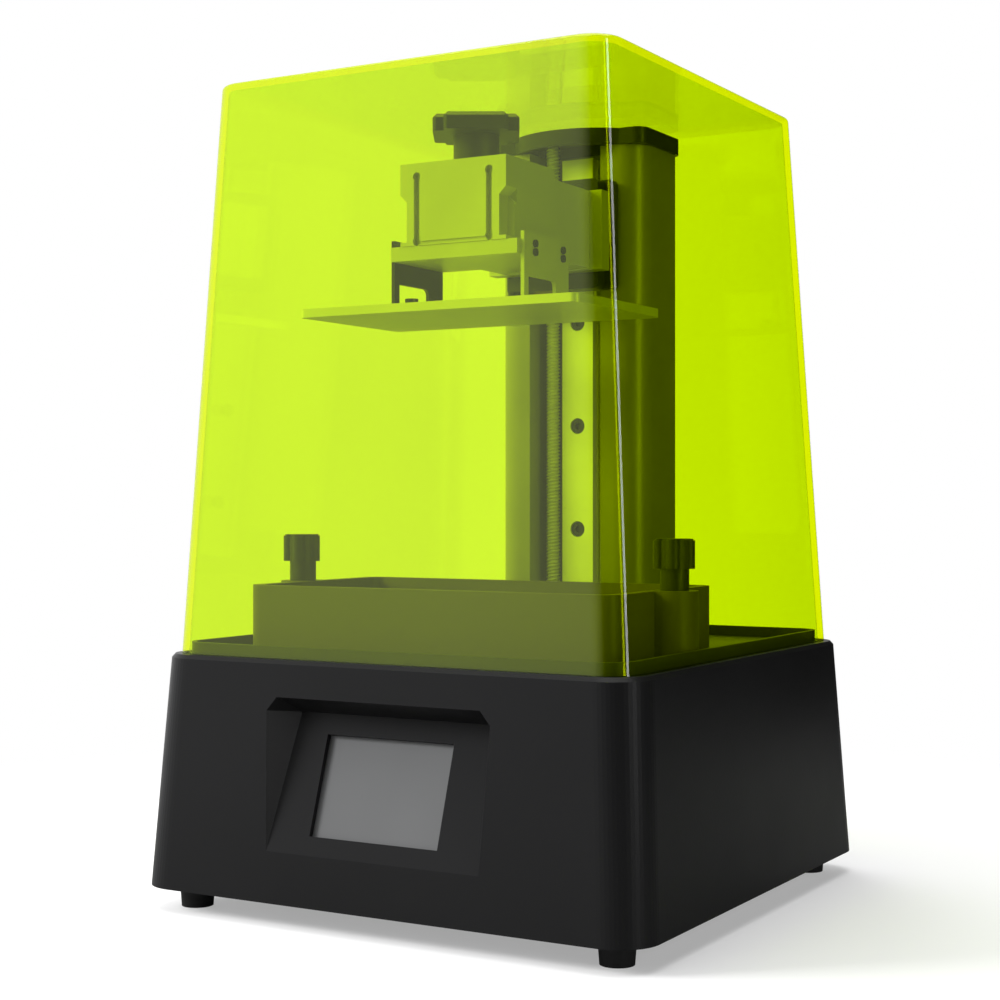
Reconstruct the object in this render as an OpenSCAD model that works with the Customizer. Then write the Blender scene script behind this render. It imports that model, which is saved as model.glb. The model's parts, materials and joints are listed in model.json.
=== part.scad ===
// Desktop resin printer: tapered base, lift-off tinted hood, vat, lifting build platform.
// Origin: floor, centre under the base. +X right, +Y back, +Z up. Millimetres.

/* [Base] */
// width of the base at its bottom edge
base_w = 290; // [280:1:296]
// depth of the base at its bottom edge
base_d = 292; // [284:1:298]
// width of the base at its top edge
base_top_w = 277; // [275:1:280]
// depth of the base at its top edge
base_top_d = 275; // [273:1:278]
// wall of the base shell
base_wall = 3; // [2.4:0.2:3.4]
// height of each rubber foot
foot_h = 12; // [10:0.5:14]
// diameter of each rubber foot
foot_d = 18.5; // [14:0.5:22]

/* [Hood] */
// width of the hood at its open bottom
hood_w = 267.4; // [266.6:0.2:270]
// width of the hood at its top
hood_top_w = 233; // [230:1:240]
// depth of the hood at its top
hood_top_d = 241; // [238:1:246]
// height of the hood
hood_h = 297; // [296:1:312]
// wall of the hood
hood_wall = 3.5; // [2.5:0.25:3.75]

/* [Vat] */
// width of the resin vat
vat_w = 218; // [216:1:220]
// height of the resin vat
vat_h = 35; // [30:1:36]
// diameter of a vat thumb screw head
vat_knob_d = 21.5; // [18:0.5:22]

/* [Platform] */
// width of the build plate
plate_w = 166.4; // [150:0.4:170]
// depth of the build plate
plate_d = 95; // [84:1:96]
// thickness of the build plate
plate_t = 4.5; // [3:0.25:4.5]
// diameter of the platform knob
knob_d = 45.2; // [40:0.4:50]

/* [Lift] */
// diameter of the lead screw
screw_d = 8; // [7:0.5:8]
// distance between rail screws
rail_pitch = 60; // [58:1:62]
// number of LEDs along the width
led_nx = 7; // [4:1:8]

/* [Hidden] */
$fn = 64;
e = 0.01;
zd = foot_h + 120;            // deck level
bh = zd - foot_h;
hx = base_w / 2; hy = base_d / 2; tx = base_top_w / 2; ty = base_top_d / 2;
base_r = 21;
rim = 128.8;                  // half opening in the top of the shell
vy = -39.5;                   // vat and light centre
ux = 114; uy = -41.3;       // vat thumb screw axis
sx = -15.8; sy = 71.6;        // lead screw axis
ky = -42.8;                   // platform knob axis
tilt = 18.3; ty0 = -131.3; tz0 = 70.2;   // screen centre and lean
px = 112; fx = 122.5;         // chassis post and foot positions
pz = 308.5;                   // underside of the build plate at rest
bpz = pz + plate_t;
function hw(z, a, b, z0, h) = a + (b - a) * (z - z0) / h;

module rr2(w, d, r) { square([w, d - 2 * r], center = true); square([w - 2 * r, d], center = true);
  for (x = [-1, 1], y = [-1, 1]) translate([x * (w / 2 - r), y * (d / 2 - r)]) circle(r); }
module rr(w, d, h, r) { linear_extrude(h) rr2(w, d, r); }
module box(x0, x1, y0, y1, z0, z1) { translate([x0, y0, z0]) cube([x1 - x0, y1 - y0, z1 - z0]); }
module cyl(x, y, z0, z1, d, d2 = 0) { translate([x, y, z0]) cylinder(h = z1 - z0, d1 = d, d2 = d2 == 0 ? d : d2); }
module ycyl(x, z, y0, y1, d) { translate([x, y0, z]) rotate([-90, 0, 0]) cylinder(h = y1 - y0, d = d); }
module xcyl(y, z, x0, x1, d) { translate([x0, y, z]) rotate([0, 90, 0]) cylinder(h = x1 - x0, d = d); }
module seg(a, b, d) { v = b - a; l = norm(v); translate(a) rotate([0, acos(v[2] / l), atan2(v[1], v[0])]) cylinder(h = l, d = d, $fn = 24); }
module wire(p, d) { for (i = [0 : len(p) - 2]) seg(p[i], p[i + 1], d); for (i = [1 : len(p) - 2]) translate(p[i]) sphere(d = d * 1.25, $fn = 24); }
module on_tilt() { translate([0, ty0, tz0]) rotate([-tilt, 0, 0]) children(); }
module lobed(d, n, h) { linear_extrude(h) { circle(d * 0.38); for (i = [0 : n - 1]) rotate(i * 360 / n) translate([d * 0.34, 0]) circle(d * 0.16); } }
module cs_screw(x, y, z1, hd, hh, d, l) { cyl(x, y, z1 - l, z1 - hh + e, d); cyl(x, y, z1 - hh, z1, hd); }

// ---------------------------------------------------------------- base
module base_form(g, z0, z1) {
  hull() {
    translate([0, 0, z0]) rr(2 * (hw(z0, hx, tx, foot_h, bh) - g), 2 * (hw(z0, hy, ty, foot_h, bh) - g), e, base_r - g);
    translate([0, 0, z1 - (g == 0 ? 2 : e)]) rr(2 * (hw(z1, hx, tx, foot_h, bh) - g), 2 * (hw(z1, hy, ty, foot_h, bh) - g), e, base_r - g);
    if (g == 0) translate([0, 0, z1 - e]) rr(2 * (tx - 1.6), 2 * (ty - 1.6), e, base_r - 1);
  }
}
module recess_form(g) {
  hull() {
    translate([0, -hy + g * 0.2, foot_h]) rotate([-atan((hy - ty) / bh), 0, 0]) rotate([90, 0, 0]) linear_extrude(4)
      polygon([[-61.5 - g, 25.5 - g], [61.5 + g, 25.5 - g], [65 + g, 95], [59 + g, 102 + g], [-59 - g, 102 + g], [-65 - g, 95]]);
    on_tilt() translate([0, -2.4 + g, 0]) rotate([90, 0, 0]) linear_extrude(e)
      polygon([[-59.5 - g, -32 - g], [59.5 + g, -32 - g], [55 + g, 36 + g], [-55 - g, 36 + g]]);
  }
}
module base_shell() color([0.16, 0.16, 0.17]) {
  difference() {
    union() {
      difference() { base_form(0, foot_h, zd); base_form(base_wall, foot_h - 1, zd - 4); translate([0, 0, zd - 5]) rr(2 * rim, 2 * rim, 10, 14); }
      intersection() { base_form(0.4, foot_h, zd - 4); recess_form(3); }
      intersection() { base_form(0.4, foot_h, zd - 4); union() {
        box(-102, -38, 133, 150, foot_h + 28, foot_h + 92);
        for (x = [-1, 1], y = [-1, 1]) cyl(x * (hx - 7.5), y * 60, foot_h + 3.3, foot_h + 30, 10);
      } }
    }
    recess_form(0);
    on_tilt() box(-37, 37, -6, 6, -25.5, 25.5);
    ycyl(-70, foot_h + 60, 130, hw(foot_h + 60, hy, ty, foot_h, bh) - 5, 56);
    for (i = [-4 : 4]) box(-70 + i * 6 - 1.6, -70 + i * 6 + 1.6, 133, 150, foot_h + 60 - 24 + abs(i) * 2, foot_h + 60 + 24 - abs(i) * 2);
    box(80.9, 109.1, 120, 150, foot_h + 40.9, foot_h + 61.1);
    box(47.9, 69.1, 120, 150, foot_h + 43.4, foot_h + 58.6);
    box(32.2, 46.8, 120, 150, 26.1, 33.3);
    for (x = [-1, 1], y = [-1, 1]) { cyl(x * (hx - 7.5), y * 60, foot_h + 2, foot_h + 20, 2.9); ycyl(-70 + x * 25, foot_h + 60 + y * 25, 130, 136.5, 3); }
  }
}
module base_plate() color([0.45, 0.46, 0.48]) difference() {
  translate([0, 0, foot_h]) rr(base_w - 2 * base_wall - 1.6, base_d - 2 * base_wall - 1.6, 3, 17);
  for (x = [-1, 1], y = [-1, 1]) { cyl(x * fx, y * fx, foot_h - 1, foot_h + 4, 4.2); cyl(x * px, y * px, foot_h - 1, foot_h + 4, 4.2); cyl(x * (hx - 7.5), y * 60, foot_h - 1, foot_h + 4, 3.2); }
  for (i = [-3 : 3], j = [-1, 1]) box(i * 12 - 2.5, i * 12 + 2.5, vy + j * 52 - 12, vy + j * 52 + 12, foot_h - 1, foot_h + 4);
}
module rubber_feet() color([0.07, 0.07, 0.07]) for (x = [-1, 1], y = [-1, 1]) difference() {
  cyl(x * fx, y * fx, 0, foot_h, foot_d - 2, foot_d); cyl(x * fx, y * fx, -1, 5, 9.5); cyl(x * fx, y * fx, 4, foot_h + 1, 4.2); }
module foot_screws_g() for (x = [-1, 1], y = [-1, 1]) { cyl(x * fx, y * fx, 2.6, 5, 8); cyl(x * fx, y * fx, 5 - e, foot_h + 7, 4); cyl(x * fx, y * fx, foot_h + 3, foot_h + 6.2, 7.6); }
module shell_screws_g() for (x = [-1, 1], y = [-1, 1]) { cyl(x * (hx - 7.5), y * 60, foot_h - 1.8, foot_h, 5.6); cyl(x * (hx - 7.5), y * 60, foot_h - e, foot_h + 14, 2.8); }
module chassis_posts() color([0.7, 0.71, 0.73]) for (x = [-1, 1], y = [-1, 1]) difference() { cyl(x * px, y * px, foot_h + 3, zd - 4, 9);
  cyl(x * px, y * px, foot_h + 2, foot_h + 14, 3.9); cyl(x * px, y * px, zd - 15, zd - 3, 3.9); }
module post_screws_g() for (x = [-1, 1], y = [-1, 1]) { cyl(x * px, y * px, foot_h - 2.4, foot_h, 7.6); cyl(x * px, y * px, foot_h - e, foot_h + 12, 3.8); }
module base_screws() color([0.6, 0.6, 0.62]) { foot_screws_g(); shell_screws_g(); post_screws_g(); }
module deck_plate() color([0.1, 0.1, 0.11]) difference() {
  union() { translate([0, 0, zd - 4]) rr(2 * rim - 0.4, 2 * rim - 0.4, 4, 13.8);
    difference() { translate([0, 0, zd - e]) rr(2 * rim - 0.4, 2 * rim - 0.4, 6, 13.8); translate([0, 0, zd - 1]) rr(2 * rim - 5, 2 * rim - 5, 9, 11.5); } }
  box(-95.2, 95.2, vy - 54.2, vy + 54.2, zd - 1.6, zd + 1);
  box(-86, 86, vy - 45, vy + 45, zd - 5, zd + 1);
  cyl(sx, sy, zd - 5, zd + 1, 22.4);
  for (x = [-1, 1]) { cyl(x * ux, uy, zd - 5, zd + 1, 6.3); for (y = [78, 100]) cyl(x * 41.6, y, zd - 5, zd + 1, 4.4);
    for (y = [-1, 1]) { cyl(x * px, y * px, zd - 5, zd + 1, 4.2); cyl(x * px, y * px, zd - 2.5, zd + 1, 7.8);
      cyl(sx + x * 15.5, sy + y * 15.5, zd - 5, zd + 1, 3.4); cyl(sx + x * 15.5, sy + y * 15.5, zd - 2.2, zd + 1, 5.9); } }
  box(-75, -55, 22, 26, zd - 5, zd + 1);
}
module deck_screws() color([0.2, 0.2, 0.2]) for (x = [-1, 1], y = [-1, 1]) cs_screw(x * px, y * px, zd, 7.6, 2.4, 3.8, 14);

// ---------------------------------------------------------------- screen
module touch_screen() color([0.3, 0.31, 0.33]) on_tilt() box(-41, 41, 0.65, 3.2, -28, 28);
module screen_board() color([0.05, 0.3, 0.15]) on_tilt() difference() {
  union() { box(-49, 49, 3.25, 4.85, -29, 29); box(-30, -12, 4.85, 7.4, -22, -8); box(8, 24, 4.85, 6.8, 4, 18); box(-6, 6, 4.85, 8, -28.5, -23); }
  for (x = [-1, 1], y = [-1, 1]) ycyl(x * 45.5, y * 25.5, 2, 6, 3.2); }
module screen_screws() color([0.6, 0.6, 0.62]) on_tilt() for (x = [-1, 1], y = [-1, 1]) { ycyl(x * 45.5, y * 25.5, 4.85, 6.8, 5.6); ycyl(x * 45.5, y * 25.5, 0.62, 4.86, 3); }
module screen_ribbon() color([0.85, 0.85, 0.82]) { box(-4, 4, -122.6, -121.9, 16, 40.5); box(-4, 4, -122.6, -90, 15.3, 16.1); box(-4, -3.2 + 107, -90.7, -82, 15.3, 16.1); box(95.8, 103.8, -90.7, 46, 15.3, 16.1); box(95.8, 103.8, 45.2, 46, 15.3, 23.4); }

// ---------------------------------------------------------------- light engine
module lcd_panel() color([0.05, 0.06, 0.09]) box(-95, 95, vy - 54, vy + 54, zd - 1.6, zd);
module lcd_frame() color([0.02, 0.02, 0.02]) difference() { box(-97, 97, vy - 55.4, vy + 55.4, zd, zd + 0.4); box(-84, 84, vy - 43, vy + 43, zd - 1, zd + 1); }
module heatsink() color([0.72, 0.73, 0.75]) { box(-48, 48, vy - 33, vy + 33, 40, 45); for (i = [0 : 11]) box(-48 + i * 8.5, -46 + i * 8.5 + 0.5, vy - 33, vy + 33, foot_h + 3, 40 + e); }
module led_board() color([0.9, 0.9, 0.88]) box(-46, 46, vy - 31, vy + 31, 45, 46.6);
module led_array() color([0.95, 0.9, 0.5]) for (i = [0 : led_nx - 1], j = [-1.5 : 1.5]) box((i - (led_nx - 1) / 2) * 10.4 - 1.75, (i - (led_nx - 1) / 2) * 10.4 + 1.75, vy + j * 12 - 1.75, vy + j * 12 + 1.75, 46.6, 47.8);
module lens_array() color([0.9, 0.92, 0.95, 0.6]) { box(-41.8, 41.8, vy - 26.8, vy + 26.8, 50, 52);
  for (i = [0 : led_nx - 1], j = [-1.5 : 1.5]) cyl((i - (led_nx - 1) / 2) * 10.4, vy + j * 12, 52 - e, 54.6, 9, 5);
  for (x = [-1, 1], y = [-1, 1]) cyl(x * 39.8, vy + y * 24.8, 46.6, 50 + e, 3); }
module light_shroud() color([0.75, 0.76, 0.78]) difference() {
  hull() { translate([0, vy, 46.6]) rr(88, 58, e, 2); translate([0, vy, zd - 4.2]) rr(178, 96, 0.2, 4); }
  hull() { translate([0, vy, 46]) rr(84.2, 54.2, e, 1); translate([0, vy, zd - 4]) rr(174, 92, 0.2, 3); } }

// ---------------------------------------------------------------- fan
module fan_frame() color([0.08, 0.08, 0.08]) translate([-70, 0, foot_h + 60]) difference() {
  union() { difference() { box(-30, 30, 118, 133, -30, 30); ycyl(0, 0, 117, 134, 57); }
    for (a = [0 : 3]) rotate([0, a * 90 + 45, 0]) box(-1.6, 1.6, 130.6, 133, 8, 29.4);
    ycyl(0, 0, 130.6, 133, 22); }
  for (x = [-1, 1], y = [-1, 1]) ycyl(x * 25, y * 25, 117, 134, 3.4);
  ycyl(0, 0, 128, 132.4, 3.1); }
module fan_rotor() color([0.12, 0.12, 0.12]) translate([-70, 0, foot_h + 60]) { ycyl(0, 0, 119, 130, 24); ycyl(0, 0, 130 - e, 132.2, 3);
  for (a = [0 : 6]) rotate([0, a * 360 / 7, 0]) translate([0, 124.5, 11]) rotate([0, 0, 32]) translate([-7, -0.7, 0]) cube([14, 1.4, 15.2]); }
module fan_screws() color([0.6, 0.6, 0.62]) for (x = [-1, 1], y = [-1, 1]) { ycyl(-70 + x * 25, foot_h + 60 + y * 25, 115.6, 118, 5.4); ycyl(-70 + x * 25, foot_h + 60 + y * 25, 118 - e, 136, 2.9); }

// ---------------------------------------------------------------- lift drive and column
module motor_body() color([0.18, 0.18, 0.19]) difference() {
  union() { translate([sx, sy, zd - 44]) rr(42.3, 42.3, 40, 4); cyl(sx, sy, zd - 4 - e, zd - 2, 22); box(sx - 8, sx + 8, sy - 27, sy - 21, zd - 44, zd - 36); }
  cyl(sx, sy, zd - 34, zd + 1, screw_d + 0.1);
  for (x = [-1, 1], y = [-1, 1]) cyl(sx + x * 15.5, sy + y * 15.5, zd - 10, zd - 3, 3); }
module motor_screws() color([0.6, 0.6, 0.62]) for (x = [-1, 1], y = [-1, 1]) cs_screw(sx + x * 15.5, sy + y * 15.5, zd, 5.6, 2.1, 2.9, 9);
module lead_screw() color([0.75, 0.75, 0.77]) { cyl(sx, sy, zd - 33.5, 418.9, screw_d); }
module column_2d() difference() {
  union() { translate([-47.5, 75]) square([95, 28]); translate([-30.5, 58]) square([61, 51]); translate([-41.5, 97]) square([83, 12]);
    for (x = [-1, 1]) { translate([x * 30.5, 75]) circle(17); translate([x * 41.5, 103]) circle(6); } }
  translate([-24, 50]) square([46, 33.5]);
  translate([-24, 87.5]) square([46, 17.5]);
  translate([26, 64]) square([11, 40]); translate([-37, 64]) square([9, 40]); }
module z_column() color([0.1, 0.1, 0.11]) difference() {
  translate([0, 0, zd]) linear_extrude(413.6 - zd) column_2d();
  for (x = [-1, 1]) { for (y = [78, 100]) cyl(x * 41.6, y, zd - 1, zd + 16, 4); cyl(x * 41.6, 89, 402, 415, 3); }
  for (i = [0 : 3]) ycyl(0, 195 + i * rail_pitch, 80, 90, 4.8);
}
module column_screws() color([0.6, 0.6, 0.62]) for (x = [-1, 1], y = [78, 100]) { cyl(x * 41.6, y, zd - 7, zd - 4, 7); cyl(x * 41.6, y, zd - 4 - e, zd + 14, 3.9); }
module column_cap() color([0.08, 0.08, 0.09]) difference() {
  translate([0, 0, 413.6]) linear_extrude(9.2) union() { translate([0, 84.5]) rr2(98, 53, 7); circle_arc(); }
  translate([0, 0, 413.5]) linear_extrude(6.6) intersection() { translate([0, 95]) circle(47.4, $fn = 96); translate([-33, 44]) square([66, 40]); }
  for (x = [-1, 1]) { cyl(x * 41.6, 89, 412, 424, 3.2); cyl(x * 41.6, 89, 420.4, 424, 6); }
}
module circle_arc() { intersection() { translate([0, 95]) circle(50, $fn = 96); translate([-47, 40]) square([94, 60]); } }
module cap_screws() color([0.6, 0.6, 0.62]) for (x = [-1, 1]) cs_screw(x * 41.6, 89, 422.6, 5.8, 2.2, 2.9, 16);
module linear_rail() color([0.85, 0.86, 0.88]) difference() {
  box(-10, 10, 72, 83.5, 152, 410.2);
  for (s = [-1, 1]) cyl(s * 10.6, 77.5, 151, 412, 3);
  for (i = [0 : 3]) { ycyl(0, 195 + i * rail_pitch, 70, 78, 9.2); ycyl(0, 195 + i * rail_pitch, 70, 85, 5); } }
module rail_screws() color([0.25, 0.25, 0.26]) for (i = [0 : 3]) difference() { union() { ycyl(0, 195 + i * rail_pitch, 73.2, 78, 8.6); ycyl(0, 195 + i * rail_pitch, 78 - e, 87, 4.7); } ycyl(0, 195 + i * rail_pitch, 72, 75.6, 4.2); }
module limit_switch() color([0.1, 0.1, 0.1]) { box(12, 20.5, 64, 82, zd, zd + 14); box(13, 14.4, 66, 78, zd + 14 - e, zd + 17); }

// ---------------------------------------------------------------- electronics
module mainboard() color([0.04, 0.25, 0.14]) difference() { union() { box(16, 102, 46.2, 128, 24, 25.6); box(40, 60, 70, 90, 25.6 - e, 27.4); box(70, 82, 74, 90, 25.6 - e, 27.2); box(28, 34, 60, 68, 25.6 - e, 27); box(84, 94, 100, 112, 25.6 - e, 34); for (i = [0 : 3]) box(24 + i * 16, 36 + i * 16, 48, 54, 25.6 - e, 32); box(60, 74, 106, 120, 25.6 - e, 29);  } for (x = [20, 98], y = [52, 122]) cyl(x, y, 23, 27, 3.2); }
module board_standoffs() color([0.75, 0.7, 0.5]) for (x = [20, 98], y = [52, 122]) { cyl(x, y, foot_h + 3, 24, 6); cyl(x, y, 24 - e, 28, 3); cyl(x, y, 25.6, 27.6, 5.6); }
module power_inlet() color([0.07, 0.07, 0.07]) { for (p = [[88, 49], [102, 49], [95, 53]]) box(p[0] - 2, p[0] + 2, 114, 138, foot_h + p[1] - 1, foot_h + p[1] + 1);
  difference() { union() { box(81.2, 108.8, 119, 140.6, foot_h + 41.2, foot_h + 60.8); box(79, 111, 136, 137.4, foot_h + 39, foot_h + 63); } box(83.5, 106.5, 124, 142, foot_h + 43.5, foot_h + 58.5); } }
module switch_housing() color([0.07, 0.07, 0.07]) difference() { union() { box(48.2, 68.8, 122, 140.6, foot_h + 43.7, foot_h + 58.3); box(46.4, 70.6, 136, 137.4, foot_h + 42, foot_h + 60); }
  box(50, 67, 130, 142, foot_h + 45.4, foot_h + 56.6); xcyl(138, foot_h + 51, 49, 68, 2.5); }
module power_rocker() color([0.45, 0.06, 0.05]) { intersection() { box(50.4, 66.6, 131, 143, foot_h + 45.8, foot_h + 56.2); union() { for (s = [-1, 1]) translate([50.4, 138, foot_h + 51]) rotate([s * 8, 0, 0]) translate([0, -3, -5]) cube([16.2, 4.8, 10]); } } xcyl(138, foot_h + 51, 49.1, 67.9, 2.3); }
module usb_port() color([0.75, 0.76, 0.78]) difference() { box(33, 46, 124, 141, 25.6, 32.8); box(33.6, 45.4, 126, 142, 26.2, 32.2); }
module motor_lead_g() wire([[sx, sy - 27.1, zd - 40], [sx, 38, zd - 40], [sx, 38, 60], [30, 38, 60], [30, 51, 60], [30, 51, 32.1]], 3.6);
module led_lead_g() wire([[46.2, vy + 20, 48.2], [56, vy + 20, 48.2], [56, vy + 20, 38], [56, 30, 38], [46, 30, 38], [46, 51, 38], [46, 51, 32.1]], 3);
module fan_lead_g() wire([[-39.9, 124, foot_h + 34], [-30, 124, foot_h + 34], [-30, 42, foot_h + 34], [62, 42, foot_h + 34], [62, 51, foot_h + 34], [62, 51, 32.1]], 2.6);
module inlet_lead_g() { wire([[88, 113.9, foot_h + 49], [88, 106, foot_h + 49], [60, 106, foot_h + 49], [60, 121.9, foot_h + 49]], 3.4); wire([[102, 113.9, foot_h + 49], [102, 104, foot_h + 49], [102, 104, 46], [89, 104, 46], [89, 104, 34.1]], 3.4); }
module internal_leads() color([0.12, 0.12, 0.12]) { motor_lead_g(); led_lead_g(); fan_lead_g(); inlet_lead_g(); }

// ---------------------------------------------------------------- lifting carriage
module slide_block() color([0.65, 0.66, 0.68]) difference() {
  union() { box(-23.7, 21.7, 60, 83.1, 336, 385); box(14, 15.5, 66, 78, 326, 336 + e); }
  box(-10.06, 10.06, 71.94, 84, 320, 390);
  cyl(sx, sy, 330, 390, screw_d + 1.2);
  for (y = [63.8, 79.4]) cyl(sx, y, 335, 345, 2.9);
  for (x = [-10, 10], z = [346, 375]) ycyl(x, z, 55, 70, 3.9); }
module lead_nut() color([0.75, 0.58, 0.25]) difference() { box(-23, -10.4, 61, 82.6, 322, 336); cyl(sx, sy, 321, 337, screw_d + 0.1); for (y = [63.8, 79.4]) cyl(sx, y, 321, 337, 3.1); }
module nut_screws() color([0.6, 0.6, 0.62]) for (y = [63.8, 79.4]) { cyl(sx, y, 320, 322, 5); cyl(sx, y, 322 - e, 343, 2.8); }
module carriage_plate() color([0.09, 0.09, 0.1]) difference() {
  union() { translate([0, 55.7, 361.75]) rotate([90, 0, 0]) rr(57.6, 61.5, 14.2, 3); translate([0, 55.7, 361.75]) rotate([90, 0, 0]) rr(69, 61.5, 5.7, 3); box(-20, 18, 55.6, 60, 337, 384); }
  for (x = [-10, 10], z = [346, 375]) { ycyl(x, z, 40, 62, 4.2); ycyl(x, z, 40, 46, 7.6); }
  for (x = [-24.5, 24.5], z = [347, 377]) { ycyl(x, z, 40, 57, 4); ycyl(x, z, 50.5, 57, 7.6); } }
module carriage_screws() color([0.25, 0.25, 0.26]) { for (x = [-24.5, 24.5], z = [347, 377]) difference() { union() { ycyl(x, z, 50.5, 54, 7); ycyl(x, z, 34, 50.5 + e, 3.8); } ycyl(x, z, 52, 55, 3.4); }
  for (x = [-10, 10], z = [346, 375]) { ycyl(x, z, 42, 46, 7); ycyl(x, z, 46 - e, 68, 3.8); } }
module lift_arm() color([0.72, 0.73, 0.75]) difference() {
  union() { box(-36, 36, 32, 41.5, 340, 384); box(-28.1, 28.1, -13.6, 32.1, 341, 384); box(-20, 20, -61.8, -13.5, 345.3, 381.4); }
  for (x = [-24.5, 24.5], z = [347, 377]) ycyl(x, z, 33.6, 42, 4);
  box(-19, 19, -8, 24, 350, 386); }

// ---------------------------------------------------------------- platform
module clamp_box() color([0.74, 0.75, 0.77]) difference() {
  union() { box(-32, 32, -67.2, -15, 345, 388); box(-38.2, 38.2, -66.6, -15, 337.5, 345 + e); }
  box(-20.4, 20.4, -62.4, -10, 345, 382);
  for (s = [-1, 1]) { translate([s * 32, -62, 0]) box(-4, 4, -6, 3.5, 347, 368); translate([s * 32, -62, 368]) rotate([0, 45, 0]) cube([5.6, 12, 5.6], center = true); }
  box(-23.6, -20.2, -68, -64, 345.6, 382.6); box(20.2, 23.6, -68, -64, 345.6, 382.6); box(-22, 22, -68, -66.2, 345.6, 347.2);
  for (x = [-21.9, 21.9], z = [347.2, 381]) ycyl(x, z, -68, -64, 4.6);
  cyl(0, ky, 380, 390, 8.4);
  for (s = [-1, 1], y = [-52, -22], z = [339.1, 343.5]) xcyl(y, z, s > 0 ? 33 : -39, s > 0 ? 39 : -33, 2.2); }
module knob_arm(w, l) hull() { translate([-l / 2 + 1.6, -w / 2, 0]) cube([l - 3.2, w, 7.1]); translate([-l / 2, -w / 2 + 1.6, 0]) cube([l, w - 3.2, 7.1]); translate([-l / 2 + 2.2, -w / 2 + 2.2, 0]) cube([l - 4.4, w - 4.4, 9.3]); }
module platform_knob() color([0.08, 0.08, 0.08]) { translate([0, ky, 403.8]) rotate(30) { knob_arm(knob_d * 0.74, knob_d); rotate(90) knob_arm(knob_d * 0.74, knob_d); }
  cyl(0, ky, 388.1, 403.8 + e, 24.2); cyl(0, ky, 383.6, 388.1 + e, 8); }
module leg(s) {
  x0 = s > 0 ? 38.2 : -40.3; x1 = s > 0 ? 40.3 : -38.2; a = s > 0 ? 37 : -42; b = s > 0 ? 42 : -37;
  difference() { box(x0, x1, -63, -15, bpz, 349); box(a, b, -58.5, -29, bpz - 1, 323); box(a, b, -58.5, -32.5, 322.9, 326.5); xcyl(-32.5, 323, a, b, 7);
    for (y = [-52, -22], z = [339.1, 343.5]) xcyl(y, z, a, b, 2.3); }
  for (y = [-60, -24]) difference() { box(s > 0 ? 26 : -38.3, s > 0 ? 38.3 : -26, y - 2.9, y + 9, bpz, bpz + 3); cyl(s * 31.5, y + 3, bpz - 1, bpz + 4, 4.3); } }
module leg_left() color([0.2, 0.2, 0.21]) leg(-1);
module leg_right() color([0.6, 0.61, 0.63]) leg(1);
module levelling_screws() color([0.12, 0.12, 0.12]) for (s = [-1, 1], y = [-57, -21]) difference() { union() { cyl(s * 31.5, y, bpz + 3, bpz + 5.5, 7); cyl(s * 31.5, y, bpz - 2.2, bpz + 3 + e, 3.9); } cyl(s * 31.5, y, bpz + 4, bpz + 9, 3.4); }
module leg_screws() color([0.25, 0.25, 0.26]) for (s = [-1, 1], y = [-52, -22], z = [339.1, 343.5]) { xcyl(y, z, s > 0 ? 40.3 : -41.5, s > 0 ? 41.5 : -40.3, 4); xcyl(y, z, s > 0 ? 34 : -40.4, s > 0 ? 40.4 : -34, 2.1); }
module build_plate() color([0.7, 0.71, 0.73]) difference() { translate([0, -39.5, pz]) rr(plate_w, plate_d, plate_t, 4); for (s = [-1, 1], y = [-57, -21]) cyl(s * 31.5, y, bpz - 2.4, bpz + 1, 4); }

// ---------------------------------------------------------------- hood and vat
module hood_form(g, z0, z1) { hull() {
  translate([0, 0, z0]) rr(hood_w - 2 * g, hood_w - 2 * g, e, 19 - g);
  translate([0, 0, z1 - (g == 0 ? 3 : e)]) rr(hood_top_w - 2 * g + (g == 0 ? 0.35 : 0), hood_top_d - 2 * g + (g == 0 ? 0.3 : 0), e, 17 - g);
  if (g == 0) translate([0, 0, z1 - e]) rr(hood_top_w - 5, hood_top_d - 5, e, 15); } }
module hood_cover() color([0.75, 0.95, 0.0, 0.45]) difference() { hood_form(0, zd, zd + hood_h); hood_form(hood_wall, zd - e, zd + hood_h - hood_wall); }
module ear2d(g) { for (s = [-1, 1]) { translate([s * 113, uy]) circle(13 - g); translate([s * 106, uy]) square([14, 26 - 2 * g], center = true); } }
module vat_frame() color([0.1, 0.1, 0.1]) difference() {
  union() { translate([0, vy, zd]) rr(vat_w, 119, vat_h, 9); translate([0, 0, zd]) linear_extrude(vat_h) ear2d(0); }
  translate([0, vy, zd + 7]) rr(vat_w - 12, 110, vat_h, 6);
  box(-92, 92, vy - 49, vy + 49, zd - 1, zd + 8);
  box(-99, 99, vy - 56, vy + 56, zd - 1, zd + 4.2);
  for (s = [-1, 1]) { cyl(s * ux, uy, zd - 1, zd + vat_h + 1, 6.6); for (i = [-2 : 2]) cyl(i * 40, vy + s * 52.5, zd + 3, zd + 6.4, 2.9); for (j = [-1, 1]) cyl(s * 95.5, vy + j * 28, zd + 3, zd + 6.4, 2.9); } }
module film_holes(d) { for (s = [-1, 1]) { for (i = [-2 : 2]) cyl(i * 40, vy + s * 52.5, zd, zd + 6, d); for (j = [-1, 1]) cyl(s * 95.5, vy + j * 28, zd, zd + 6, d); } }
module release_film() color([0.9, 0.95, 1.0, 0.4]) difference() { box(-98.6, 98.6, vy - 55.6, vy + 55.6, zd + 3.9, zd + 4.2); film_holes(3.1); }
module film_clamp() color([0.72, 0.73, 0.75]) difference() { box(-98.6, 98.6, vy - 55.6, vy + 55.6, zd + 1, zd + 3.9); box(-92, 92, vy - 49, vy + 49, zd, zd + 5); film_holes(3.1);
  for (s = [-1, 1]) { for (i = [-2 : 2]) cyl(i * 40, vy + s * 52.5, zd, zd + 2.4, 5.4); for (j = [-1, 1]) cyl(s * 95.5, vy + j * 28, zd, zd + 2.4, 5.4); } }
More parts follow.
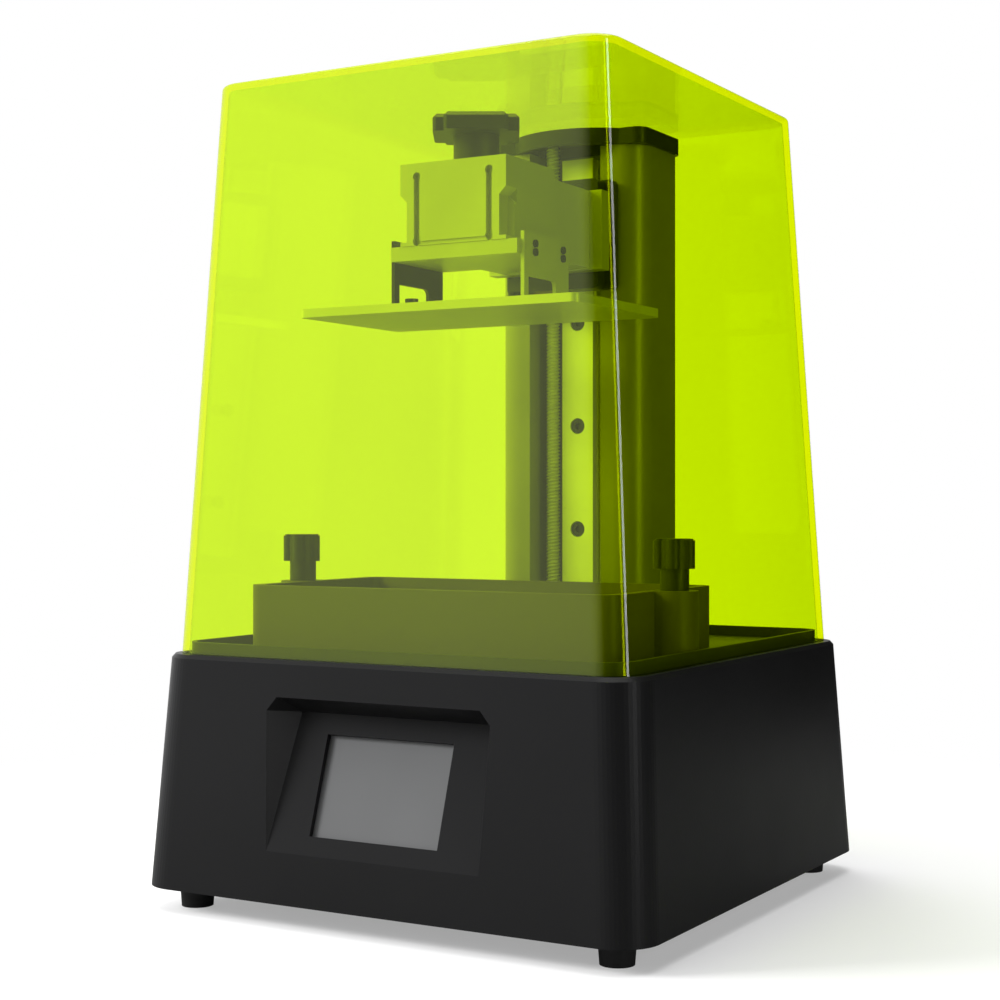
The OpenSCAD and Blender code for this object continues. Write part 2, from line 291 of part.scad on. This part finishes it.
module film_screws() color([0.3, 0.3, 0.3]) for (s = [-1, 1]) { for (i = [-2 : 2]) { cyl(i * 40, vy + s * 52.5, zd + 1.1, zd + 2.4, 5.2); cyl(i * 40, vy + s * 52.5, zd + 2.4 - e, zd + 6.2, 2.8); } for (j = [-1, 1]) { cyl(s * 95.5, vy + j * 28, zd + 1.1, zd + 2.4, 5.2); cyl(s * 95.5, vy + j * 28, zd + 2.4 - e, zd + 6.2, 2.8); } }
module vat_screw(s) { cyl(s * ux, uy, zd - 6, zd + vat_h + e, 6); cyl(s * ux, uy, zd + vat_h, zd + 46, 14.5); translate([s * ux, uy, zd + 46 - e]) lobed(vat_knob_d, 5, 14); translate([s * ux, uy, zd + 60 - 2 * e]) scale([0.92, 0.92, 1]) lobed(vat_knob_d, 5, 0.8); }
module vat_screw_left() color([0.08, 0.08, 0.08]) vat_screw(-1);
module vat_screw_right() color([0.08, 0.08, 0.08]) vat_screw(1);

base_shell();
base_plate();
rubber_feet();
base_screws();
chassis_posts();
deck_plate();
deck_screws();
touch_screen();
screen_board();
screen_screws();
screen_ribbon();
lcd_panel();
lcd_frame();
led_board();
led_array();
lens_array();
light_shroud();
heatsink();
fan_frame();
fan_rotor();
fan_screws();
motor_body();
motor_screws();
lead_screw();
z_column();
column_screws();
column_cap();
cap_screws();
linear_rail();
rail_screws();
limit_switch();
mainboard();
board_standoffs();
power_inlet();
switch_housing();
power_rocker();
usb_port();
internal_leads();
slide_block();
lead_nut();
nut_screws();
carriage_plate();
carriage_screws();
lift_arm();
clamp_box();
platform_knob();
leg_left();
leg_right();
leg_screws();
levelling_screws();
build_plate();
hood_cover();
vat_frame();
release_film();
film_clamp();
film_screws();
vat_screw_left();
vat_screw_right();
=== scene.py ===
import bpy, bmesh, math, json
from mathutils import Vector, Matrix

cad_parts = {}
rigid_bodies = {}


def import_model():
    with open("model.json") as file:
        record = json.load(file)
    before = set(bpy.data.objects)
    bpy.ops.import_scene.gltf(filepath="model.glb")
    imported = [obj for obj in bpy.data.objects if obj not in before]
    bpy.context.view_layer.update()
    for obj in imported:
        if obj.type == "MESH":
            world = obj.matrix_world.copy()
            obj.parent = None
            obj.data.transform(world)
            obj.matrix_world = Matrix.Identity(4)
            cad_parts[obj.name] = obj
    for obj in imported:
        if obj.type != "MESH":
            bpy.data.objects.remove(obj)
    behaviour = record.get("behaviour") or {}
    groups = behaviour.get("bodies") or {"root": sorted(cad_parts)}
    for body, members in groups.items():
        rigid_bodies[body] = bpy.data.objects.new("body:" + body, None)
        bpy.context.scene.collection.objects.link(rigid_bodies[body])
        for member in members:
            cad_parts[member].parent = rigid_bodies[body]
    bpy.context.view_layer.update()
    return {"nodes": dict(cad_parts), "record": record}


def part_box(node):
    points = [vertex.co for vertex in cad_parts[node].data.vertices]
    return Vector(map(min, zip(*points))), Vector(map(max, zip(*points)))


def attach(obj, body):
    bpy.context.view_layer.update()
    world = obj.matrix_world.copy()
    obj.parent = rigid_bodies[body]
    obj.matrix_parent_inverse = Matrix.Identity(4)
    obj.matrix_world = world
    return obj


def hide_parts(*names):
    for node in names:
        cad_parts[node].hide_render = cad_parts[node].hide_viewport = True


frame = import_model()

scene = bpy.context.scene
N = frame["nodes"]


# ------------------------------------------------------------------ materials
def new_mat(name):
    m = bpy.data.materials.new(name)
    m.use_nodes = True
    nt = m.node_tree
    nt.nodes.clear()
    out = nt.nodes.new("ShaderNodeOutputMaterial")
    return m, nt, out


def principled(nt, out, **kw):
    p = nt.nodes.new("ShaderNodeBsdfPrincipled")
    nt.links.new(p.outputs[0], out.inputs["Surface"])
    for k, v in kw.items():
        p.inputs[k].default_value = v
    return p


def coords(nt, scale=(1, 1, 1)):
    tc = nt.nodes.new("ShaderNodeTexCoord")
    mp = nt.nodes.new("ShaderNodeMapping")
    mp.inputs["Scale"].default_value = scale
    nt.links.new(tc.outputs["Object"], mp.inputs["Vector"])
    return mp.outputs[0]


def noise(nt, vec, scale, detail=4, rough=0.5):
    n = nt.nodes.new("ShaderNodeTexNoise")
    n.inputs["Scale"].default_value = scale
    n.inputs["Detail"].default_value = detail
    n.inputs["Roughness"].default_value = rough
    nt.links.new(vec, n.inputs["Vector"])
    return n.outputs["Fac"]


def ramp(nt, fac, stops):
    r = nt.nodes.new("ShaderNodeValToRGB")
    els = r.color_ramp.elements
    while len(els) < len(stops):
        els.new(0.5)
    for e, (pos, col) in zip(els, stops):
        e.position = pos
        e.color = (*col, 1) if len(col) == 3 else col
    nt.links.new(fac, r.inputs["Fac"])
    return r.outputs["Color"]


def maprange(nt, fac, lo, hi, a=0.3, b=0.7):
    r = nt.nodes.new("ShaderNodeMapRange")
    r.inputs["From Min"].default_value = a
    r.inputs["From Max"].default_value = b
    r.inputs["To Min"].default_value = lo
    r.inputs["To Max"].default_value = hi
    nt.links.new(fac, r.inputs["Value"])
    return r.outputs["Result"]


def bump(nt, fac, p, strength, dist=0.0002):
    b = nt.nodes.new("ShaderNodeBump")
    b.inputs["Strength"].default_value = strength
    b.inputs["Distance"].default_value = dist
    nt.links.new(fac, b.inputs["Height"])
    nt.links.new(b.outputs[0], p.inputs["Normal"])
    return b


def plastic(name, col, rough=0.42, var=0.12, grain=900, bstr=0.25, spec=0.5, coat=0.0):
    """moulded plastic: fine spark-eroded grain, slight colour and gloss variation"""
    m, nt, out = new_mat(name)
    p = principled(nt, out, **{"IOR": 1.5, "Coat Weight": coat, "Coat Roughness": 0.08, "Specular IOR Level": spec})
    v = coords(nt)
    big = noise(nt, v, 9, 3)
    fine = noise(nt, v, grain, 2, 0.6)
    lo = tuple(c * (1 - var) for c in col)
    hi = tuple(min(1, c * (1 + var)) for c in col)
    nt.links.new(ramp(nt, big, [(0.3, lo), (0.7, hi)]), p.inputs["Base Color"])
    nt.links.new(maprange(nt, big, rough - 0.05, rough + 0.05), p.inputs["Roughness"])
    bump(nt, fine, p, bstr, 0.00012)
    return m


def metal(name, col, rough=0.32, stretch=(1, 1, 1), grain=350, metallic=1.0, bstr=0.12, var=0.08):
    m, nt, out = new_mat(name)
    p = principled(nt, out, **{"Metallic": metallic})
    v = coords(nt, stretch)
    a = noise(nt, v, grain, 3, 0.6)
    b = noise(nt, coords(nt), 14, 3)
    lo = tuple(c * (1 - var) for c in col)
    hi = tuple(min(1, c * (1 + var)) for c in col)
    nt.links.new(ramp(nt, b, [(0.3, lo), (0.7, hi)]), p.inputs["Base Color"])
    nt.links.new(maprange(nt, a, max(0.05, rough - 0.08), rough + 0.1), p.inputs["Roughness"])
    bump(nt, a, p, bstr, 0.00008)
    return m


def acrylic(name, tint, edge, haze=0.0):
    """clear tinted sheet: tinted see-through surface with a clean mirror by angle"""
    m, nt, out = new_mat(name)
    tr = nt.nodes.new("ShaderNodeBsdfTransparent")
    v = coords(nt)
    n = noise(nt, v, 5, 2)
    lo = tuple(c * 0.985 for c in tint)
    nt.links.new(ramp(nt, n, [(0.3, lo), (0.7, tint)]), tr.inputs["Color"])
    gl = nt.nodes.new("ShaderNodeBsdfGlossy")
    gl.inputs["Roughness"].default_value = 0.03
    gl.inputs["Color"].default_value = (1, 1, 1, 1)
    lw = nt.nodes.new("ShaderNodeLayerWeight")
    lw.inputs["Blend"].default_value = 0.5
    pw = nt.nodes.new("ShaderNodeMath")
    pw.operation = "POWER"
    pw.inputs[1].default_value = 6.5
    nt.links.new(lw.outputs["Facing"], pw.inputs[0])
    fr = nt.nodes.new("ShaderNodeMapRange")
    fr.inputs["To Min"].default_value = 0.035
    fr.inputs["To Max"].default_value = 0.9
    nt.links.new(pw.outputs[0], fr.inputs["Value"])
    mx = nt.nodes.new("ShaderNodeMixShader")
    nt.links.new(fr.outputs[0], mx.inputs[0])
    nt.links.new(tr.outputs[0], mx.inputs[1])
    nt.links.new(gl.outputs[0], mx.inputs[2])
    df = nt.nodes.new("ShaderNodeBsdfDiffuse")
    df.inputs["Color"].default_value = (*edge, 1)
    mx2 = nt.nodes.new("ShaderNodeMixShader")
    mx2.inputs[0].default_value = haze
    nt.links.new(mx.outputs[0], mx2.inputs[1])
    nt.links.new(df.outputs[0], mx2.inputs[2])
    nt.links.new(mx2.outputs[0], out.inputs["Surface"])
    return m


MATS = {
    "shell_black": plastic("shell_black_mat", (0.0125, 0.0125, 0.013), 0.36, 0.08, 700, 0.25, spec=0.14),
    "base_steel": metal("base_steel_mat", (0.42, 0.43, 0.45), 0.38, (1, 1, 1), 220),
    "foot_rubber": plastic("foot_rubber_mat", (0.012, 0.012, 0.012), 0.75, 0.2, 500, 0.5),
    "screw_steel": metal("screw_steel_mat", (0.6, 0.6, 0.62), 0.3, (1, 1, 12), 300),
    "post_alloy": metal("post_alloy_mat", (0.7, 0.71, 0.73), 0.3, (1, 1, 14), 400),
    "deck_black": plastic("deck_black_mat", (0.06, 0.058, 0.058), 0.45, 0.15, 500, 0.5),
    "screw_black": metal("screw_black_mat", (0.06, 0.06, 0.062), 0.38, (1, 1, 8), 300),
    "board_green": plastic("board_green_mat", (0.02, 0.14, 0.06), 0.3, 0.25, 260, 0.2, coat=0.4),
    "ribbon": plastic("ribbon_mat", (0.78, 0.78, 0.74), 0.4, 0.06, 300, 0.1),
    "frame_black": plastic("frame_black_mat", (0.012, 0.012, 0.012), 0.6, 0.2, 400, 0.3),
    "led_board_white": plastic("led_board_mat", (0.82, 0.82, 0.8), 0.35, 0.05, 300, 0.1),
    "led_yellow": plastic("led_yellow_mat", (0.85, 0.68, 0.2), 0.25, 0.1, 300, 0.1, coat=0.6),
    "shroud_alloy": metal("shroud_alloy_mat", (0.66, 0.67, 0.69), 0.3, (10, 1, 1), 250),
    "sink_alloy": metal("sink_alloy_mat", (0.6, 0.61, 0.63), 0.38, (1, 10, 1), 250),
    "fan_black": plastic("fan_black_mat", (0.02, 0.02, 0.02), 0.5, 0.15, 500, 0.3),
    "motor_black": plastic("motor_black_mat", (0.03, 0.03, 0.032), 0.35, 0.15, 260, 0.3),
    "bright_steel": metal("bright_steel_mat", (0.93, 0.93, 0.93), 0.34, (1, 1, 10), 300, metallic=0.15, bstr=0.05),
    "bronze": metal("bronze_mat", (0.68, 0.47, 0.2), 0.32, (1, 1, 6), 300),
    "column_black": metal("column_black_mat", (0.27, 0.26, 0.26), 0.36, (1, 1, 16), 260, metallic=0.2, bstr=0.08),
    "cap_black": plastic("cap_black_mat", (0.02, 0.02, 0.021), 0.42, 0.12, 500, 0.4),
    "switch_black": plastic("switch_black_mat", (0.03, 0.03, 0.03), 0.45, 0.15, 400, 0.3),
    "inlet_black": plastic("inlet_black_mat", (0.018, 0.018, 0.018), 0.3, 0.1, 500, 0.2),
    "rocker_red": plastic("rocker_red_mat", (0.36, 0.02, 0.012), 0.28, 0.1, 300, 0.15, coat=0.3),
    "usb_steel": metal("usb_steel_mat", (0.75, 0.76, 0.78), 0.22, (6, 1, 1), 300, bstr=0.05),
    "lead_black": plastic("lead_black_mat", (0.03, 0.03, 0.032), 0.45, 0.2, 300, 0.2),
    "carriage_black": metal("carriage_black_mat", (0.05, 0.05, 0.052), 0.36, (1, 1, 8), 260, metallic=0.5),
    "arm_alloy": metal("arm_alloy_mat", (0.58, 0.58, 0.59), 0.4, (1, 1, 1), 900, metallic=0.4, bstr=0.2),
    "knob_black": plastic("knob_black_mat", (0.032, 0.031, 0.031), 0.45, 0.12, 600, 0.35),
    "plate_alloy": metal("plate_alloy_mat", (0.74, 0.74, 0.75), 0.42, (1, 1, 1), 1100, metallic=0.35, bstr=0.3),
    "vat_black": plastic("vat_black_mat", (0.118, 0.102, 0.102), 0.5, 0.015, 500, 0.04),
    "clamp_alloy": metal("clamp_alloy_mat", (0.66, 0.67, 0.69), 0.3, (8, 1, 1), 300),
}


def display_mat(name, col, rough, coat):
    """display glass: near-even grey with a faint pixel grid under a gloss cover"""
    m, nt, out = new_mat(name)
    p = principled(nt, out, **{"Roughness": rough, "Coat Weight": coat, "Coat Roughness": 0.03, "IOR": 1.5})
    v = coords(nt)
    w = nt.nodes.new("ShaderNodeTexVoronoi")
    w.inputs["Scale"].default_value = 2600
    nt.links.new(v, w.inputs["Vector"])
    big = noise(nt, v, 12, 2)
    lo = tuple(c * 0.94 for c in col)
    hi = tuple(min(1, c * 1.06) for c in col)
    nt.links.new(ramp(nt, big, [(0.3, lo), (0.7, hi)]), p.inputs["Base Color"])
    bump(nt, w.outputs["Distance"], p, 0.02, 0.00003)
    return m


MATS["screen_glass"] = display_mat("screen_glass_mat", (0.135, 0.137, 0.139), 0.55, 0.05)
MATS["lcd_glass"] = display_mat("lcd_glass_mat", (0.012, 0.014, 0.02), 0.2, 1.0)
MATS["lens_clear"] = acrylic("lens_clear_mat", (0.93, 0.95, 0.96), (0.8, 0.8, 0.8), 0.05)
MATS["film_clear"] = acrylic("film_clear_mat", (0.95, 0.97, 0.98), (0.8, 0.8, 0.8), 0.03)
MATS["hood_lime"] = acrylic("hood_lime_mat", (0.905, 0.995, 0.02), (0.5, 0.8, 0.0), 0.006)

slot_of = {s["node"]: s["material_slot"] for s in frame["record"]["subparts"]}
for name, ob in N.items():
    m = MATS.get(slot_of.get(name))
    if m is None:
        print("no material for", name, slot_of.get(name))
        m = MATS["shell_black"]
    ob.data.materials.clear()
    ob.data.materials.append(m)


# ------------------------------------------------------------------ soft edges on machined and moulded pieces
def bevel(name, width, seg=2, angle=35):
    ob = N[name]
    md = ob.modifiers.new("edge", "BEVEL")
    md.width = width
    md.segments = seg
    md.limit_method = "ANGLE"
    md.angle_limit = math.radians(angle)
    md.harden_normals = False


for n_, w_ in (("vat_frame", 0.0009), ("clamp_box", 0.0005), ("lift_arm", 0.0005), ("carriage_plate", 0.0008), ("column_cap", 0.0009),
               ("platform_knob", 0.0008), ("vat_screw_left", 0.0006), ("vat_screw_right", 0.0006), ("build_plate", 0.0007), ("leg_left", 0.0003), ("leg_right", 0.0003), ("deck_plate", 0.0006), ("touch_screen", 0.0003), ("levelling_screws", 0.0004), ("leg_screws", 0.0003), ("linear_rail", 0.0003), ("slide_block", 0.0005), ("rubber_feet", 0.0008), ("z_column", 0.0006)):
    if n_ in N:
        bevel(n_, w_)


# ------------------------------------------------------------------ lead screw with its thread, inside the plain CAD screw
lo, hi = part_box("lead_screw")
cx, cy, rad = (lo[0] + hi[0]) / 2, (lo[1] + hi[1]) / 2, (hi[0] - lo[0]) / 2
pitch, lead, depth, seg = 0.002, 0.004, 0.0009, 32
t0, t1 = lo[2] + 0.036, hi[2] - 0.0015
bm = bmesh.new()
zs = [(lo[2], 0.9), (lo[2] + 0.0004, 1.0), (t0 - 0.0006, 1.0)]
k = int((t1 - t0) / 0.00033)
zs += [(t0 + (t1 - t0) * i / k, None) for i in range(k + 1)]
zs += [(t1 + 0.0002, 0.8), (hi[2] - 0.0005, 0.8), (hi[2], 0.68)]
rings = []
for z, f in zs:
    ring = []
    for j in range(seg):
        a = 2 * math.pi * j / seg
        if f is None:
            u = ((z - lead * a / (2 * math.pi)) / pitch) % 1.0
            if u < 0.32:
                r = rad
            elif u < 0.5:
                r = rad - depth * (u - 0.32) / 0.18
            elif u < 0.82:
                r = rad - depth
            else:
                r = rad - depth * (1 - u) / 0.18
        else:
            r = rad * f
        ring.append(bm.verts.new((cx + r * math.cos(a), cy + r * math.sin(a), z)))
    rings.append(ring)
for a, b in zip(rings, rings[1:]):
    for j in range(seg):
        bm.faces.new((a[j], a[(j + 1) % seg], b[(j + 1) % seg], b[j]))
bm.faces.new(list(reversed(rings[0])))
bm.faces.new(rings[-1])
me = bpy.data.meshes.new("screw_thread")
bm.to_mesh(me)
bm.free()
for p in me.polygons:
    p.use_smooth = True
thread = bpy.data.objects.new("screw_thread", me)
scene.collection.objects.link(thread)
me.materials.append(MATS["bright_steel"])
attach(thread, "screw")
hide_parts("lead_screw")

# ------------------------------------------------------------------ hood: the same moulding with smooth corners and a rounded top edge
lo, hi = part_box("hood_cover")
HW, HZ = (hi[0] - lo[0]) / 2, hi[2] - lo[2]
TW, TD, WALL = HW - 0.0172, HW - 0.0132, 0.0035
CN = 14


def ring(bm, a, b, r, z):
    vs = []
    for qx, qy, s0 in ((1, 1, 0), (-1, 1, 90), (-1, -1, 180), (1, -1, 270)):
        for i in range(CN + 1):
            t = math.radians(s0 + 90 * i / CN)
            vs.append(bm.verts.new((qx * (a - r) + r * math.cos(t), qy * (b - r) + r * math.sin(t), z)))
    return vs


def at(f, g):
    return HW + (TW - HW) * f - g, HW + (TD - HW) * f - g, 0.019 - 0.002 * f - g


def join(bm, p, q, flip):
    n = len(p)
    for i in range(n):
        j = (i + 1) % n
        f = (p[i], p[j], q[j], q[i])
        bm.faces.new(f[::-1] if flip else f)


bm = bmesh.new()
f_, steps = 0.0028, 6
outer = []
for k in range(9):
    z = (HZ - f_) * k / 8
    outer.append(ring(bm, *at(z / HZ, 0), lo[2] + z))
for k in range(1, steps + 1):
    t = math.pi / 2 * k / steps
    a, b, r = at((HZ - f_) / HZ, f_ * (1 - math.cos(t)))
    outer.append(ring(bm, a, b, r, lo[2] + HZ - f_ + f_ * math.sin(t)))
inner = []
for k in range(9):
    z = (HZ - WALL) * k / 8
    inner.append(ring(bm, *at(z / HZ, WALL), lo[2] + z))
for p, q in zip(outer, outer[1:]):
    join(bm, p, q, False)
for p, q in zip(inner, inner[1:]):
    join(bm, p, q, True)
join(bm, outer[0], inner[0], True)
bm.faces.new(outer[-1])
bm.faces.new(inner[-1][::-1])
me = bpy.data.meshes.new("hood_shell")
bm.to_mesh(me)
bm.free()
for p in me.polygons:
    p.use_smooth = True
me.set_sharp_from_angle(angle=math.radians(32))
hood = bpy.data.objects.new("hood_shell", me)
scene.collection.objects.link(hood)
me.materials.append(MATS["hood_lime"])
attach(hood, "hood")
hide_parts("hood_cover")

# ------------------------------------------------------------------ light, floor, camera
def area(name, loc, target, size, power, size_y=None, col=(1, 1, 1)):
    l = bpy.data.lights.new(name, "AREA")
    l.energy = power
    l.shape = "RECTANGLE"
    l.size = size
    l.size_y = size_y or size
    l.color = col
    o = bpy.data.objects.new(name, l)
    o.location = loc
    d = Vector(target) - Vector(loc)
    o.rotation_euler = d.to_track_quat("-Z", "Y").to_euler()
    scene.collection.objects.link(o)
    return o


mid = Vector((0, 0, 0.2))
area("key_left", (-1.7, -1.25, 1.2), mid, 0.8, 62)
area("top_soft", (-0.1, 0.1, 2.3), mid, 2.0, 42)
area("back_left", (-1.6, 1.7, 1.0), (0, 0, 0.25), 1.6, 26)
area("corner_strip", (2.05, -0.5, 0.62), (0.13, -0.13, 0.28), 0.26, 10, size_y=1.5)

world = bpy.data.worlds.new("studio")
scene.world = world
world.use_nodes = True
wt = world.node_tree
bg = wt.nodes["Background"]
bg.inputs["Color"].default_value = (1, 1, 1, 1)
lp = wt.nodes.new("ShaderNodeLightPath")
geo = wt.nodes.new("ShaderNodeTexCoord")
dot = wt.nodes.new("ShaderNodeVectorMath")
dot.operation = "DOT_PRODUCT"
dot.inputs[1].default_value = (-1.0, -0.12, 0.2)
wt.links.new(geo.outputs["Generated"], dot.inputs[0])
rg = wt.nodes.new("ShaderNodeMapRange")
rg.inputs["From Min"].default_value = -0.1
rg.inputs["From Max"].default_value = 0.6
rg.inputs["To Min"].default_value = 0.0
rg.inputs["To Max"].default_value = 1.0
wt.links.new(dot.outputs["Value"], rg.inputs["Value"])
mxw = wt.nodes.new("ShaderNodeMix")
mxw.data_type = "FLOAT"
mxw.inputs["B"].default_value = 1.0
wt.links.new(lp.outputs["Is Camera Ray"], mxw.inputs["Factor"])
wt.links.new(rg.outputs[0], mxw.inputs["A"])
wt.links.new(mxw.outputs[0], bg.inputs["Strength"])

me = bpy.data.meshes.new("floor")
bm = bmesh.new()
bmesh.ops.create_circle(bm, cap_ends=True, segments=96, radius=1.0)
bm.to_mesh(me)
bm.free()
floor = bpy.data.objects.new("floor", me)
scene.collection.objects.link(floor)
fm, fnt, fout = new_mat("floor_mat")
fp = fnt.nodes.new("ShaderNodeBsdfDiffuse")
fp.inputs["Color"].default_value = (0.9, 0.9, 0.9, 1)
fe = fnt.nodes.new("ShaderNodeEmission")
fe.inputs["Color"].default_value = (1, 1, 1, 1)
fe.inputs["Strength"].default_value = 1.0
ftc = fnt.nodes.new("ShaderNodeTexCoord")
fln = fnt.nodes.new("ShaderNodeVectorMath")
fln.operation = "LENGTH"
fnt.links.new(ftc.outputs["Object"], fln.inputs[0])
frd = fnt.nodes.new("ShaderNodeMapRange")
frd.inputs["From Min"].default_value = 0.24
frd.inputs["From Max"].default_value = 0.62
frd.inputs["To Min"].default_value = 0.35
frd.inputs["To Max"].default_value = 1.0
frd.interpolation_type = "SMOOTHSTEP"
fnt.links.new(fln.outputs["Value"], frd.inputs["Value"])
fcm = fnt.nodes.new("ShaderNodeMixShader")
fnt.links.new(frd.outputs[0], fcm.inputs[0])
fnt.links.new(fp.outputs[0], fcm.inputs[1])
fnt.links.new(fe.outputs[0], fcm.inputs[2])
fdk = fnt.nodes.new("ShaderNodeBsdfDiffuse")
fdk.inputs["Color"].default_value = (0.25, 0.25, 0.25, 1)
flp = fnt.nodes.new("ShaderNodeLightPath")
fmx = fnt.nodes.new("ShaderNodeMixShader")
fnt.links.new(flp.outputs["Is Camera Ray"], fmx.inputs[0])
fnt.links.new(fdk.outputs[0], fmx.inputs[1])
fnt.links.new(fcm.outputs[0], fmx.inputs[2])
fnt.links.new(fmx.outputs[0], fout.inputs["Surface"])
floor.data.materials.append(fm)

cam = bpy.data.cameras.new("camera")
cam.sensor_width = 36
cam.lens = 66.04
co = bpy.data.objects.new("camera", cam)
co.location = (0.4966, -0.8750, 0.2128)
co.rotation_euler = (math.radians(90), 0, math.radians(30.09))
cam.shift_y = -0.0015
cam.clip_end = 50
scene.collection.objects.link(co)
scene.camera = co
scene.view_settings.view_transform = "Standard"
scene.view_settings.look = "None"

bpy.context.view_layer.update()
# these two light the piece without a white glare on the hood
for light in bpy.data.objects:
    if light.type == "LIGHT" and light.name.startswith(("back_left", "key_left")):
        light.visible_glossy = False
